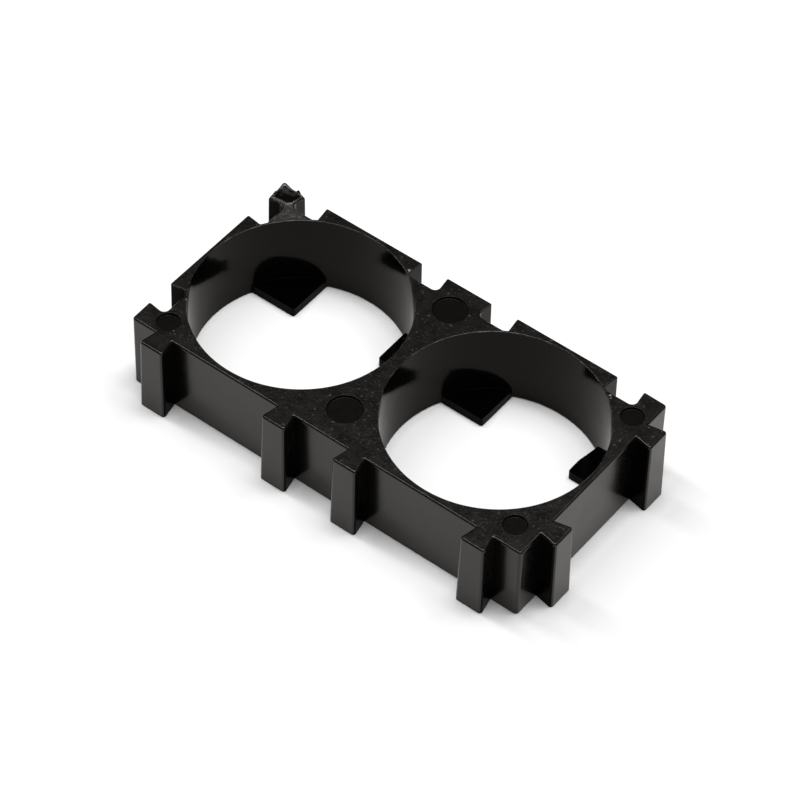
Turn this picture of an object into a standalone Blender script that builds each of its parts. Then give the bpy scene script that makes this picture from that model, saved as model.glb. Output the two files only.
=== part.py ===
"""Bracket that holds two cylindrical cells side by side, moulded in one piece of black plastic.

The bracket stands on its base at z = 0, with its pockets along Z. Its origin is on the base,
midway between the two pockets. The keys are on the front (-Y) and right (+X) sides, and the
keyways that take a neighbour's keys are on the back (+Y) and left (-X) sides.
"""
import bpy
import bmesh
import numpy as np
from math import acos, cos, hypot, pi, radians, sin, sqrt, tan

MM = 0.001

# Pockets: tapered bores, open at both ends
POCKET_TOP_DIAMETER = 19.0 * MM
POCKET_TAPER = 0.4 * MM
POCKET_DIVIDER = 1.2 * MM
BODY_HEIGHT = 7.75 * MM

# Walls outside the pockets, at their thinnest
FRONT_WALL = 0.55 * MM
RIGHT_WALL = 0.55 * MM
BACK_WALL = 0.45 * MM
LEFT_WALL = 0.35 * MM
RIM_WALL = 0.2 * MM
BODY_CORNER_RADIUS = 0.25 * MM

# Stops: square-cornered ledges under the cells, with a channel for a strip between them
STOP_THICKNESS = 0.95 * MM
STRIP_CHANNEL_WIDTH = 9.2 * MM
STRIP_CHANNEL_SHIFT = 0.5 * MM

# Keys: dovetail ribs, two for each pocket and side
KEY_NECK_WIDTH = 1.8 * MM
KEY_UNDERCUT = 0.35 * MM
KEY_LENGTH = 1.65 * MM
KEY_CORNER_RADIUS = 0.25 * MM
KEY_ROOT_RADIUS = 0.12 * MM

# Keyways: the slots for a neighbour's keys, wider than the keys by these clearances
MOUTH_CLEARANCE = 0.4 * MM
BASE_CLEARANCE = 0.3 * MM
END_CLEARANCE = 0.15 * MM
KEYWAY_FILLET = 0.5 * MM
KEYWAY_LIP_RADIUS = 0.2 * MM
CORNER_BLOCK_WIDTH = 2.1 * MM
CORNER_NECK = 0.7 * MM

# Mould draft from the top to the base: on each side of a key or keyway, and on a key's end
SIDE_DRAFT = 0.1 * MM
END_DRAFT = 0.12 * MM

# Ejector marks: shallow round recesses in the top
MARK_DEPTH = 0.25 * MM
DIVIDER_MARK_DIAMETER = 3.0 * MM
DIVIDER_MARK_FRONT_INSET = 3.2 * MM
DIVIDER_MARK_BACK_INSET = 2.75 * MM
CORNER_MARK_DIAMETER = 2.0 * MM

# Places of the corner marks: pocket (-1 left, 1 right), then shares of the reach in X and Y
CORNER_MARK_SHARES = ((-1, -0.73, -0.845), (1, 0.786, -0.786), (1, 0.85, 0.72))

# Scar of the torn gate: a recess that leaves a rim on the corner block, and a burr on that rim
SCAR_RIM = 0.15 * MM
BURR_DIAMETER = 0.3 * MM
BURR_HEIGHT = 0.25 * MM
BURR_TIP_SHARE = 0.2

# Facets
POCKET_STEPS = 96
MARK_STEPS = 32
BURR_STEPS = 6
ARC_STEPS = 4
FLAT_ANGLE = 0.2
SHARP_ANGLE = 30

# How far a cutting tool runs past the face that it cuts, and how near points must be to weld
OVERRUN = 1.0 * MM
WELD = 0.0001 * MM

# Sizes worked out from those above
POCKET_RADIUS = POCKET_TOP_DIAMETER / 2
AXIS_X = (POCKET_TOP_DIAMETER + POCKET_DIVIDER) / 2
FRONT_REACH = POCKET_RADIUS + FRONT_WALL
RIGHT_REACH = POCKET_RADIUS + RIGHT_WALL
BACK_REACH = POCKET_RADIUS + BACK_WALL
LEFT_REACH = POCKET_RADIUS + LEFT_WALL
KEYWAY_DEPTH = KEY_LENGTH + END_CLEARANCE
KEYWAY_MOUTH_HALF = KEY_NECK_WIDTH / 2 + MOUTH_CLEARANCE
KEYWAY_BASE_HALF = KEY_NECK_WIDTH / 2 + KEY_UNDERCUT + BASE_CLEARANCE
KEY_OFFSET = LEFT_REACH - CORNER_BLOCK_WIDTH - KEYWAY_MOUTH_HALF


def pocket_radius(z):
    """Radius of a pocket's tapered wall at height z."""
    return POCKET_RADIUS - POCKET_TAPER / 2 * (1 - z / BODY_HEIGHT)


def rounded(corners):
    """Points of a closed outline whose corners, given as (point, radius), become arcs."""
    points = []
    count = len(corners)
    for index, (corner, radius) in enumerate(corners):
        if radius <= 0:
            points.append(corner)
            continue
        before = corners[index - 1][0] - corner
        after = corners[(index + 1) % count][0] - corner
        reach = min(np.linalg.norm(before), np.linalg.norm(after)) / 2
        before = before / np.linalg.norm(before)
        after = after / np.linalg.norm(after)
        half_angle = acos(np.clip(before @ after, -1, 1)) / 2
        radius = min(radius, reach * tan(half_angle))
        middle = before + after
        centre = corner + middle / np.linalg.norm(middle) * radius / sin(half_angle)
        start = corner + before * radius / tan(half_angle) - centre
        end = corner + after * radius / tan(half_angle) - centre
        turn = np.arctan2(start[0] * end[1] - start[1] * end[0], start @ end)
        for angle in np.linspace(0, turn, ARC_STEPS + 1):
            points.append(centre + start * cos(angle) + np.array((-start[1], start[0])) * sin(angle))
    return points


def on_side(start, along, distance, shape):
    """Corners of a shape given as (across, outward, radius), put at a distance along a side."""
    outward = np.array((along[1], -along[0]))
    return [(start + along * (distance + across) + outward * out, radius) for across, out, radius in shape]


def key_shape(draft_share):
    """Dovetail rib: it widens outwards, and its draft is added to its sides and its end."""
    neck = KEY_NECK_WIDTH / 2 + SIDE_DRAFT * draft_share
    head = neck + KEY_UNDERCUT
    length = KEY_LENGTH + END_DRAFT * draft_share
    return ((-neck, 0, KEY_ROOT_RADIUS), (-head, length, KEY_CORNER_RADIUS),
            (head, length, KEY_CORNER_RADIUS), (neck, 0, KEY_ROOT_RADIUS))


def keyway_shape(draft_share, first_fillet, last_fillet):
    """Undercut slot: it widens inwards, and its draft is taken off its sides."""
    mouth = KEYWAY_MOUTH_HALF - SIDE_DRAFT * draft_share
    base = KEYWAY_BASE_HALF - SIDE_DRAFT * draft_share
    return ((-mouth, 0, KEYWAY_LIP_RADIUS), (-base, -KEYWAY_DEPTH, first_fillet),
            (base, -KEYWAY_DEPTH, last_fillet), (mouth, 0, KEYWAY_LIP_RADIUS))


def neck_fillet():
    """Fillet of the two slots at the back left corner that leaves the neck of the corner block.

    The fillets' centres lie (2 r + dx, 2 r + dy) apart, and the neck is what is left between
    their two arcs: (2 r + dx)^2 + (2 r + dy)^2 = (2 r + neck)^2, solved for r.
    """
    dx = LEFT_REACH - KEYWAY_DEPTH - KEY_OFFSET - KEYWAY_BASE_HALF
    dy = BACK_REACH - KEYWAY_DEPTH - KEY_OFFSET - KEYWAY_BASE_HALF
    spare = CORNER_NECK - dx - dy
    square = spare ** 2 + CORNER_NECK ** 2 - dx ** 2 - dy ** 2
    return max(KEYWAY_FILLET, (spare + sqrt(max(square, 0))) / 2)


def slot_pair(distance, draft_share, first_fillet, last_fillet):
    """The two slots of one pocket on a side, whose pocket's axis is at that distance along it."""
    return [(distance - KEY_OFFSET, keyway_shape(draft_share, first_fillet, 0)),
            (distance + KEY_OFFSET, keyway_shape(draft_share, 0, last_fillet))]


def body_outline(draft_share):
    """Plan outline of the body, anticlockwise from its front left corner.

    The share of the draft is 0 at the top and 1 at the base.
    """
    left, right = -AXIS_X - LEFT_REACH, AXIS_X + RIGHT_REACH
    front, back = -FRONT_REACH, BACK_REACH
    key = key_shape(draft_share)
    neck = neck_fillet()
    offsets = (-KEY_OFFSET, KEY_OFFSET)
    front_keys = [(axis + offset - left, key) for axis in (-AXIS_X, AXIS_X) for offset in offsets]
    right_keys = [(offset - front, key) for offset in offsets]
    back_slots = slot_pair(right - AXIS_X, draft_share, KEYWAY_FILLET, KEYWAY_FILLET)
    back_slots += slot_pair(right + AXIS_X, draft_share, KEYWAY_FILLET, neck)
    left_slots = slot_pair(back, draft_share, neck, KEYWAY_FILLET)
    sides = (((left, front), (1, 0), front_keys), ((right, front), (0, 1), right_keys),
             ((right, back), (-1, 0), back_slots), ((left, back), (0, -1), left_slots))
    corners = []
    for start, along, features in sides:
        corners.append((np.array(start), BODY_CORNER_RADIUS))
        for distance, shape in features:
            corners += on_side(np.array(start), np.array(along), distance, shape)
    return rounded(corners)


def loft(name, rings):
    """Closed object through rings of points, lowest first, that all have the same count."""
    mesh = bmesh.new()
    loops = [[mesh.verts.new(point) for point in ring] for ring in rings]
    for lower, upper in zip(loops, loops[1:]):
        for index in range(len(lower)):
            mesh.faces.new((lower[index - 1], lower[index], upper[index], upper[index - 1]))
    mesh.faces.new(reversed(loops[0]))
    mesh.faces.new(loops[-1])
    bmesh.ops.remove_doubles(mesh, verts=mesh.verts, dist=WELD)
    bmesh.ops.recalc_face_normals(mesh, faces=mesh.faces)
    data = bpy.data.meshes.new(name)
    mesh.to_mesh(data)
    mesh.free()
    item = bpy.data.objects.new(name, data)
    bpy.context.collection.objects.link(item)
    return item


def ring(points, z):
    """Plan points lifted to height z."""
    return [(point[0], point[1], z) for point in points]


def circle(centre, radius, steps):
    """Points round a circle in plan."""
    angles = np.arange(steps) * 2 * pi / steps
    return np.column_stack((centre[0] + radius * np.cos(angles), centre[1] + radius * np.sin(angles)))


def stop_angles():
    """Angles round a pocket, with one at each corner and end of the stops."""
    half = STRIP_CHANNEL_WIDTH / 2
    radius = pocket_radius(STOP_THICKNESS)
    special = []
    for edge_x in (STRIP_CHANNEL_SHIFT - half, STRIP_CHANNEL_SHIFT + half):
        for edge_y in (-STRIP_CHANNEL_SHIFT - half, -STRIP_CHANNEL_SHIFT + half):
            special.append(np.arctan2(edge_y, edge_x))
            if hypot(edge_x, edge_y) < radius:
                side_y = np.copysign(sqrt(radius ** 2 - edge_x ** 2), edge_y)
                side_x = np.copysign(sqrt(radius ** 2 - edge_y ** 2), edge_x)
                special += [np.arctan2(side_y, edge_x), np.arctan2(edge_y, side_x)]
    step = 2 * pi / POCKET_STEPS
    even = np.arange(POCKET_STEPS) * step - pi
    gaps = [np.abs(np.angle(np.exp(1j * (even - angle)))) for angle in special]
    return np.sort(np.concatenate((even[np.min(gaps, axis=0) > step / 3], special)))


def opening_radius(angles, radius):
    """Distance from a pocket's axis to the edge of the opening between its stops.

    The opening is two crossed channels inside the pocket's circle. A ray leaves it where it
    has left both channels, or at the circle if that comes first.
    """
    half = STRIP_CHANNEL_WIDTH / 2
    across, along = np.cos(angles), np.sin(angles)
    edge_x = STRIP_CHANNEL_SHIFT + np.copysign(half, across)
    edge_y = -STRIP_CHANNEL_SHIFT + np.copysign(half, along)
    leave_x = edge_x / np.where(across == 0, np.finfo(float).tiny, across)
    leave_y = edge_y / np.where(along == 0, np.finfo(float).tiny, along)
    return np.minimum(radius, np.maximum(leave_x, leave_y))


def pocket_tool(name, axis_x):
    """Cutter for one pocket: the opening between the stops, a ledge, then the tapered bore."""
    angles = stop_angles()
    below, ledge, above = -OVERRUN, STOP_THICKNESS, BODY_HEIGHT + OVERRUN
    full = np.ones_like(angles)
    opening = opening_radius(angles, pocket_radius(ledge))
    levels = ((below, opening), (ledge, opening), (ledge, full * pocket_radius(ledge)),
              (above, full * pocket_radius(above)))
    rings = []
    for z, radius in levels:
        points = np.column_stack((axis_x + radius * np.cos(angles), radius * np.sin(angles)))
        rings.append(ring(points, z))
    return loft(name, rings)


def corner_block():
    """Left, right, front and back edges of the block between the slots at the back left corner."""
    inner = KEY_OFFSET + KEYWAY_MOUTH_HALF
    return -AXIS_X - LEFT_REACH, -AXIS_X - inner, inner, BACK_REACH


def recess_places():
    """Centre and diameter of each ejector mark, and of the gate's scar."""
    places = [((0, DIVIDER_MARK_FRONT_INSET - FRONT_REACH), DIVIDER_MARK_DIAMETER),
              ((0, BACK_REACH - DIVIDER_MARK_BACK_INSET), DIVIDER_MARK_DIAMETER)]
    for pocket, share_x, share_y in CORNER_MARK_SHARES:
        reach_x = RIGHT_REACH if share_x > 0 else LEFT_REACH
        reach_y = BACK_REACH if share_y > 0 else FRONT_REACH
        centre = (pocket * AXIS_X + share_x * reach_x, share_y * reach_y)
        places.append((centre, CORNER_MARK_DIAMETER))
    left, right, front, back = corner_block()
    scar = min(right - left, back - front) - 2 * SCAR_RIM
    places.append((((left + right) / 2, (front + back) / 2), scar))
    return places


def gate_burr():
    """Small spike of torn plastic that stands on the scar's rim, at the block's back edge."""
    left, right, front, back = corner_block()
    centre = ((left + right) / 2, back - BURR_DIAMETER / 2)
    root = circle(centre, BURR_DIAMETER / 2, BURR_STEPS)
    tip = circle(centre, BURR_DIAMETER / 2 * BURR_TIP_SHARE, BURR_STEPS)
    sunk = BODY_HEIGHT - BURR_HEIGHT
    return loft("gate_burr", (ring(root, sunk), ring(root, BODY_HEIGHT), ring(tip, BODY_HEIGHT + BURR_HEIGHT)))


def black_plastic():
    """Near-black moulded plastic with a satin gloss."""
    material = bpy.data.materials.new("black_plastic")
    material.use_nodes = True
    shader = material.node_tree.nodes["Principled BSDF"]
    shader.inputs["Base Color"].default_value = (0.013, 0.012, 0.0115, 1)
    shader.inputs["Roughness"].default_value = 0.32
    shader.inputs["Metallic"].default_value = 0
    return material


def combine(body, tools, operation):
    """Joins the tools to the body or cuts them out, and removes them."""
    group = bpy.data.collections.new(operation)
    for tool in tools:
        group.objects.link(tool)
    modifier = body.modifiers.new(operation, "BOOLEAN")
    modifier.operation = operation
    modifier.solver = "EXACT"
    modifier.operand_type = "COLLECTION"
    modifier.collection = group
    graph = bpy.context.evaluated_depsgraph_get()
    body.data = bpy.data.meshes.new_from_object(body.evaluated_get(graph))
    body.modifiers.clear()
    for tool in tools:
        bpy.data.objects.remove(tool)


def clear_flat_faces(body):
    """Dissolves the edges that joining and cutting left inside flat faces."""
    mesh = bmesh.new()
    mesh.from_mesh(body.data)
    bmesh.ops.dissolve_limit(mesh, angle_limit=radians(FLAT_ANGLE), verts=mesh.verts, edges=mesh.edges)
    bmesh.ops.triangulate(mesh, faces=mesh.faces)
    mesh.to_mesh(body.data)
    mesh.free()


def cell_bracket():
    """The whole moulding."""
    base_outline, top_outline = body_outline(1), body_outline(0)
    body = loft("cell_bracket", (ring(base_outline, 0), ring(top_outline, BODY_HEIGHT)))
    rims = []
    pockets = []
    for axis_x in (-AXIS_X, AXIS_X):
        rim = circle((axis_x, 0), POCKET_RADIUS + RIM_WALL, POCKET_STEPS)
        rims.append(loft("pocket_rim", (ring(rim, 0), ring(rim, BODY_HEIGHT))))
        pockets.append(pocket_tool("pocket", axis_x))
    recesses = []
    for centre, diameter in recess_places():
        edge = circle(centre, diameter / 2, MARK_STEPS)
        floor, above = BODY_HEIGHT - MARK_DEPTH, BODY_HEIGHT + OVERRUN
        recesses.append(loft("recess", (ring(edge, floor), ring(edge, above))))
    combine(body, rims, "UNION")
    combine(body, pockets + recesses, "DIFFERENCE")
    combine(body, [gate_burr()], "UNION")
    clear_flat_faces(body)
    body.data.materials.clear()
    body.data.materials.append(black_plastic())
    body.data.shade_smooth()
    body.data.set_sharp_from_angle(angle=radians(SHARP_ANGLE))
    return body


def main():
    """Clears the scene and models the bracket."""
    for item in list(bpy.data.objects):
        bpy.data.objects.remove(item)
    cell_bracket()


main()
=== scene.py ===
"""Looks of a black plastic bracket for cylindrical cells, laid out as a Blender add-on.

The moulding is rebuilt as one fine closed surface with filleted edges, recessed ejector marks and
a torn gate scar. It stands on a pale studio floor. All sizes are in metres.
"""
from math import cos, pi, radians, sin

import bpy
import numpy as np
from bpy.props import FloatProperty, FloatVectorProperty, PointerProperty
from mathutils import Matrix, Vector
from mathutils.geometry import tessellate_polygon


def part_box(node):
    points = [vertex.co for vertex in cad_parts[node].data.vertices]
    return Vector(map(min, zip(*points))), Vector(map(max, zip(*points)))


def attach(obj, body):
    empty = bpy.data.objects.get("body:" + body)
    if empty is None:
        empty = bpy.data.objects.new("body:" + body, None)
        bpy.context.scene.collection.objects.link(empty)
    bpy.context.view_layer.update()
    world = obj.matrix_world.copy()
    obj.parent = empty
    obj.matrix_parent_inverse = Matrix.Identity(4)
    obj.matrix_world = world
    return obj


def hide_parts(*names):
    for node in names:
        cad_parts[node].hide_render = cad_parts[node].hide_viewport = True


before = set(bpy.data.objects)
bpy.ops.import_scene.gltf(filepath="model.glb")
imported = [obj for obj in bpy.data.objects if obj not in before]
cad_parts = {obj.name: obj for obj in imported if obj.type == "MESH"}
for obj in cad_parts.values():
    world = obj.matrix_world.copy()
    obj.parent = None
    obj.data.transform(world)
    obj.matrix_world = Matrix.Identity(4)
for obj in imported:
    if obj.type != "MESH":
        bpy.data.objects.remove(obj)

bl_info = {
    "name": "Cell bracket looks",
    "version": (1, 0, 0),
    "blender": (4, 5, 0),
    "location": "3D View > Sidebar > Bracket",
    "description": "Builds the finished surface, materials and studio of a moulded cell bracket",
    "category": "Object",
}

MM = 0.001
NODE = "cell_bracket"
BODY_HEIGHT = 7.75 * MM
CAD_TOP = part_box(NODE)[1][2]

# Facets of the fine surface
ARC_STEPS = 10
RUN_STEPS = 18
EDGE_STEPS = 5
WALL_STEPS = 10
POCKET_STEPS = 288
MARK_STEPS = 64
SCAR_RINGS = 34
SCAR_STEPS = 168
WELD = 0.00001 * MM

# Turns of an edge's facets, from the face beside it to the flat face
QUARTER = np.radians(np.linspace(0, 90, EDGE_STEPS + 1))

# Points close to each corner and end of a stop: their turns from it round the pocket
FAN = np.radians((-1.2, -0.6, -0.3, 0, 0.3, 0.6, 1.2))

# Turns round a pocket between which flash grows to its full width
FLASH_START, FLASH_FULL = radians(56), radians(49.5)

# Ejector marks at the corners: pocket (-1 left, 1 right), then shares of the reach in X and Y
CORNER_MARK_SHARES = ((-1, -0.73, -0.845), (1, 0.786, -0.786), (1, 0.85, 0.72))
# Rings on a mark's floor, in shares of its radius
MARK_FLOOR_SHARES = np.array((0.02, 0.4, 0.75))

# Outline of the torn gate scar on the corner block: shift of its middle to the back, gaps to the
# rounded edges and to the leaning flanks, reach towards the neck, how square it is, and the share
# of its way out at which its innermost ring lies
SCAR_SHIFT = 0.05 * MM
SCAR_EDGE_GAP, SCAR_LIP_GAP = 0.06 * MM, 0.07 * MM
SCAR_RIGHT_GAP, SCAR_FRONT_GAP = 0.13 * MM, 0.12 * MM
SCAR_NECK_REACH = 1.05 * MM
SCAR_POWER = 6
SCAR_CORE_SHARE = 0.03

# Relief of the scar, in shares of the way to its outline: the cup's slope, where the crumples
# start and end, the burr's place and half width, and how much the crumples shift them all
CUP_SHARES = (0.2, 1)
TORN_START_SHARES, TORN_END_SHARES = (0.8, 0.95), (1.02, 1.3)
BURR_SHARE, BURR_HALF_SHARE = 0.98, 0.06
UNEVEN_SHARE = 0.03
# Where the burr grows towards the front, and where the relief fades out across the neck
BURR_GROWTH = (-0.4 * MM, 0.3 * MM)
NECK_FADE = (0.55 * MM, 1.1 * MM)
# Heights between which the plastic under the top takes part in the relief
TEAR_HEIGHTS = (BODY_HEIGHT - 0.9 * MM, BODY_HEIGHT - 0.1 * MM)
SLOPE_STEP = 0.01 * MM
# Peaks of the torn edge: place from the scar's middle, height and spread, in millimetres
SCAR_PEAKS = ((-1.1, 0.95, 0.3, 0.4), (-1.0, -0.33, 0.22, 0.14), (0.46, 0.98, 0.36, 0.1),
              (-0.15, 1.0, -0.06, 0.25), (1.25, 1.0, -0.3, 0.34), (-1.2, -1.1, -0.12, 0.2),
              (-0.66, -0.4, -0.12, 0.08))
# Crumples: seed, number of waves, shortest wave, longest over shortest, and gain
CRUMPLE_SEED, CRUMPLE_WAVES = 11, 40
CRUMPLE_SIZE, CRUMPLE_RANGE, CRUMPLE_GAIN = 0.25 * MM, 4, 3
# Level direction towards the front right. The scar's rim past this distance that way gets the
# painted rim highlight, over this many rings
NEAR = (0.6, -0.8)
HIGHLIGHT_REACH, HIGHLIGHT_RINGS = 0.1 * MM, 4

# Where the plastic flowed in, and distances from there between which the blush fades out
GATE = (-18.2 * MM, 8.4 * MM, BODY_HEIGHT)
BLUSH_FADE = (1.2 * MM, 4.2 * MM)

# Whitened specks of torn plastic on the top: place and size in millimetres
SPECKS = ((-5.42, 8.63, 0.12), (-5.25, 8.5, 0.1), (-5.0, 8.42, 0.12), (-4.78, 8.2, 0.1),
          (-4.66, 8.42, 0.08), (15.9, 7.88, 0.1), (16.12, 7.68, 0.08), (-17.75, -5.65, 0.08),
          (-19.75, 8.62, 0.14), (-16.3, -9.0, 0.05), (-16.0, -9.25, 0.04))
# Solid part and whole of a speck in shares of its size, and how far and how finely it is stirred
SPECK_SHARES = (0.6, 1.2)
SPECK_STIR, SPECK_STIR_SIZE = 0.25 * MM, 0.12 * MM

# Soft lamps: name, place, width, depth, watts
LAMPS = (("left_strip", (-0.24, -0.012, 0.4), 0.32, 0.054, 0.75),
         ("back_box", (0.15, 0.21, 0.6), 0.3, 0.3, 1.25),
         ("overhead", (0.02, 0.01, 0.62), 0.22, 0.22, 2.05))
# Half the floor's width, and distances from the bracket between which it turns pure white
FLOOR_HALF = 2.0
FLOOR_FADE = (0.05, 0.2)
SENSOR_WIDTH_MM = 36
CLIP_START, CLIP_END = 10 * MM, 10

# Slots of the moulding's finishes. The rims' slot carries a painted highlight, and the slot of the
# stops and flanks carries a painted shade.
GRAINED, POLISHED, DRAWN, MATT_PAINTED_SHADE, MARK, EDGE, RIM_HIGHLIGHT, TORN = range(8)


def length(name, description, millimetres):
    """A size property, given in millimetres."""
    return FloatProperty(name=name, description=description, default=millimetres * MM,
                         unit="LENGTH")


def colour(name, description, default):
    """A colour property."""
    return FloatVectorProperty(name=name, description=description, default=default,
                               subtype="COLOR", size=3, min=0, max=1)


def factor(name, description, default):
    """A property without a unit."""
    return FloatProperty(name=name, description=description, default=default, min=0, soft_max=1)


def turn(name, description, degrees):
    """An angle property, given in degrees."""
    return FloatProperty(name=name, description=description, default=radians(degrees),
                         subtype="ANGLE")


class BracketShape(bpy.types.PropertyGroup):
    """Sizes of the moulding."""
    pocket_diameter: length("Pocket diameter", "Width of a pocket at the top", 19.0)
    pocket_taper: length("Pocket taper", "How much narrower a pocket is at the base", 0.4)
    pocket_lean: turn("Pocket lean", "Lean at which a pocket's wall mirrors things", 6.0)
    pocket_divider: length("Divider", "Wall between the pockets at its thinnest", 1.2)
    front_wall: length("Front wall", "Wall in front of a pocket", 0.55)
    right_wall: length("Right wall", "Wall to the right of a pocket", 0.55)
    back_wall: length("Back wall", "Wall behind a pocket", 0.45)
    left_wall: length("Left wall", "Wall to the left of a pocket", 0.35)
    rim_wall: length("Rim wall", "Thinnest wall between a pocket and a keyway", 0.2)
    corner_radius: length("Corner radius", "Radius of the body's upright corners", 0.3)
    stop_thickness: length("Stop thickness", "Height of the ledges under the cells", 0.95)
    channel_width: length("Channel width", "Width of the gap between the stops", 9.2)
    channel_shift: length("Channel shift", "How far the gap lies towards +X and -Y", 0.5)
    stop_tip_radius: length("Stop tip radius", "Rounding of a stop's free corner", 0.15)
    stop_flash: length("Stop flash", "Flash that widens the right pocket's back right stop", 0.33)
    stop_growth: length("Stop growth", "Extra reach of the left pocket's back left stop", 0.2)
    foot_radius: length("Foot radius", "Rounding of a pocket's foot between the stops", 0.15)
    key_neck: length("Key neck", "Width of a key where it leaves the wall", 1.8)
    key_undercut: length("Key undercut", "Reach of each side of a key's head over its neck", 0.35)
    key_length: length("Key length", "How far a key stands out", 1.65)
    key_radius: length("Key radius", "Rounding of a key's outer corners", 0.26)
    root_radius: length("Root radius", "Rounding in the corner between key and wall", 0.004)
    mouth_clearance: length("Mouth clearance", "Room beside a neighbour's key, at the mouth", 0.4)
    floor_clearance: length("Floor clearance", "Room beside a neighbour's key, at its end", 0.3)
    end_clearance: length("End clearance", "Room past the end of a neighbour's key", 0.15)
    keyway_fillet: length("Keyway fillet", "Rounding in a keyway's outer corners", 0.5)
    lip_radius: length("Lip radius", "Rounding of a keyway's lips", 0.15)
    block_width: length("Corner block width", "Width of the block between corner keyways", 2.1)
    block_neck: length("Corner block neck", "Thinnest part behind the corner block", 0.7)
    side_draft: length("Side draft", "Widening of a key's sides from top to base", 0.1)
    end_draft: length("End draft", "Lengthening of a key from top to base", 0.12)
    edge_radius: length("Edge radius", "Rounding of the edges round the top face", 0.2)
    lip_edge_radius: length("Lip edge radius", "Rounding of a keyway's top edges", 0.12)
    rim_radius: length("Rim radius", "Rounding of a pocket's rim", 0.07)
    sleeve_edge_radius: length("Sleeve edge radius", "Rounding of the rim wall's top edge", 0.06)
    base_radius: length("Base radius", "Rounding of the base edges and of the stops", 0.05)
    mark_depth: length("Mark depth", "Depth of the ejector marks", 0.25)
    divider_mark: length("Divider mark", "Width of the marks between the pockets", 3.0)
    corner_mark: length("Corner mark", "Width of the marks at the corners", 2.0)
    mark_front_inset: length("Front mark inset", "Front face to the front divider mark", 3.2)
    mark_back_inset: length("Back mark inset", "Back face to the back divider mark", 2.75)
    block_spread: length("Block spread", "How far the corner block bulges towards +X", 0.3)
    scar_depth: length("Scar depth", "Depth of the torn gate scar", 0.14)
    scar_burr: length("Scar burr", "Height of the thin burr round the scar", 0.05)
    scar_crumple: length("Scar crumple", "Height of the torn plastic's crumples", 0.03)


class BracketFinish(bpy.types.PropertyGroup):
    """Colours, gloss and fine relief of the plastic, with its painted glints, painted rim
    highlight and painted shade. A gloss is a specular level.
    """
    plastic: colour("Plastic", "Colour of the plastic", (0.0028, 0.0026, 0.0024))
    # Painted glints: pale colour that stands in for the lamps' glints on the grain's facets. The
    # torn scar's pale points use this colour too.
    painted_glint: colour("Fleck", "Colour of the pale flecks in the grain", (0.085, 0.08, 0.075))
    blush: colour("Blush", "Colour of the pale patch near the torn gate", (0.03, 0.028, 0.026))
    whitened: colour("Whitened", "Colour of torn, stress-whitened specks", (0.3, 0.29, 0.28))
    # Painted rim highlight: paler colour that stands in for the light that the pockets' rims and
    # the scar's front rim catch
    painted_rim_highlight: colour("Rubbed", "Colour of the plastic where a rim is rubbed", (0.1, 0.097, 0.093))
    sheen: colour("Sheen", "Tint of what the plastic mirrors", (1.0, 0.93, 0.86))
    # Painted shade: a colour darker than the plastic's, for the stops and flanks that lie in shade
    painted_shade: colour("Shade", "Colour of the stops and flanks", (0.0006, 0.0005, 0.0005))
    top_roughness: factor("Top roughness", "Roughness of the grained top", 0.3)
    top_gloss: factor("Top gloss", "Gloss of the grained top", 0.42)
    grain_size: length("Grain size", "Size of the spark-eroded grain", 0.24)
    grain_depth: length("Grain depth", "Depth of the spark-eroded grain", 0.034)
    side_roughness: factor("Side roughness", "Roughness of the polished sides", 0.2)
    side_gloss: factor("Side gloss", "Gloss of the polished sides", 0.32)
    fine_drag: length("Fine drag", "Depth of the drag lines on sides and ejector marks", 0.002)
    bore_roughness: factor("Bore roughness", "Roughness of the pockets", 0.1)
    bore_gloss: factor("Bore gloss", "Gloss of the pockets", 0.098)
    bore_drag: length("Bore drag", "Depth of the drag lines in the pockets", 0.003)
    matt_roughness: factor("Matt roughness", "Roughness of the stops and flanks", 0.25)
    matt_gloss: factor("Matt gloss", "Gloss of the stops and flanks", 0.02)
    coarse_drag: length("Coarse drag", "Depth of the drag lines on stops, flanks and edges", 0.006)
    mark_gloss: factor("Mark gloss", "Gloss of the ejector marks", 0.17)
    edge_roughness: factor("Edge roughness", "Roughness of the edges round the top", 0.24)
    edge_gloss: factor("Edge gloss", "Gloss of the edges round the top", 0.42)
    # Gloss of the rims with the painted highlight, and the depth of the bumps along them
    rim_gloss: factor("Rim gloss", "Gloss of the rubbed rims", 0.5)
    rim_relief: length("Rim wear", "Depth of the wear on the rubbed rims", 0.02)
    torn_roughness: factor("Torn roughness", "Roughness of the torn gate scar", 0.26)
    torn_gloss: factor("Torn gloss", "Gloss of the torn gate scar", 0.05)
    torn_depth: length("Torn depth", "Depth of the torn gate scar's fine crumples", 0.012)


class BracketStudio(bpy.types.PropertyGroup):
    """Camera, lamps and floor."""
    azimuth: turn("Azimuth", "Camera's turn round the object", 36.437)
    elevation: turn("Elevation", "Camera's height over the horizon", 48.796)
    roll: turn("Roll", "Camera's turn about its own line of sight", 1.851)
    distance: length("Distance", "Camera to its target", 317.4)
    target_x: length("Target X", "Where the camera looks on the floor, X", -1.156)
    target_y: length("Target Y", "Where the camera looks on the floor, Y", 2.182)
    lens: length("Focal length", "Focal length on a sensor 36 mm wide", 170.06)
    floor: colour("Floor", "Colour of the floor", (0.9, 0.9, 0.9))
    floor_boost: factor("Floor boost", "How much brighter the floor shows than it lights", 1.12)
    glossy_share: factor("Glossy share", "Share of that boost that reflections show", 0.97)
    mirror_tint: colour("Mirror tint", "Tint of the floor in reflections", (1.0, 0.97, 0.945))
    ambient: factor("Ambient", "Light from all round", 0.05)


def unit(vectors):
    """Vectors of length one along the last axis."""
    return vectors / np.linalg.norm(vectors, axis=-1, keepdims=True)


def circle(steps):
    """Level unit vectors all the way round."""
    angles = np.arange(steps) * 2 * pi / steps
    return np.column_stack((np.cos(angles), np.sin(angles)))


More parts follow.
